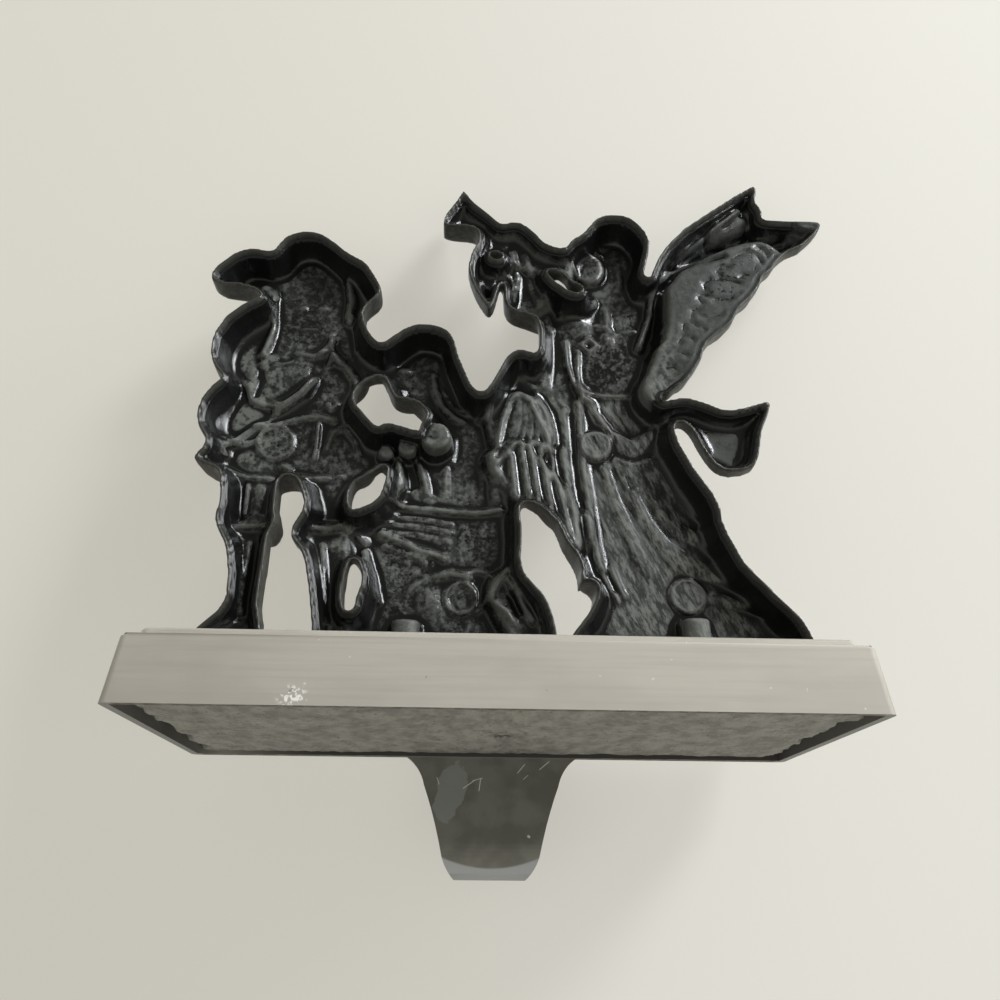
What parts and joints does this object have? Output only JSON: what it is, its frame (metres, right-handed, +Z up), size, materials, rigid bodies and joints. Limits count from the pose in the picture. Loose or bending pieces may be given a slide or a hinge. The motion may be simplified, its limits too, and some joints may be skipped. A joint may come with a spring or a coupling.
{
  "type": "mantel stocking holder",
  "caption": "Weighted plinth that sits on a mantelpiece, with a hook under its front edge for a stocking and a hollow-backed cast relief of three festive figures standing on top.",
  "frame": {"origin": "centre of the plinth's bottom rim, in the plane that rests on the mantel", "axes": "+Z up, -Y towards the front, where the hook and the modelled side of the figures are, +X to the right seen from the front"},
  "size_m": [0.1711, 0.093, 0.1824],
  "materials": {
    "plinth": "brushed satin nickel, scratched",
    "figures": "dark antiqued lacquer, glossy in the hollows and dull where worn",
    "fill": "rough and mottled",
    "screws": "plain"
  },
  "bodies": {
    "root": {"base": "plinth", "ballast": "fill", "figure_group": "figures", "figure_screws": "screws"}
  },
  "joints": []
}
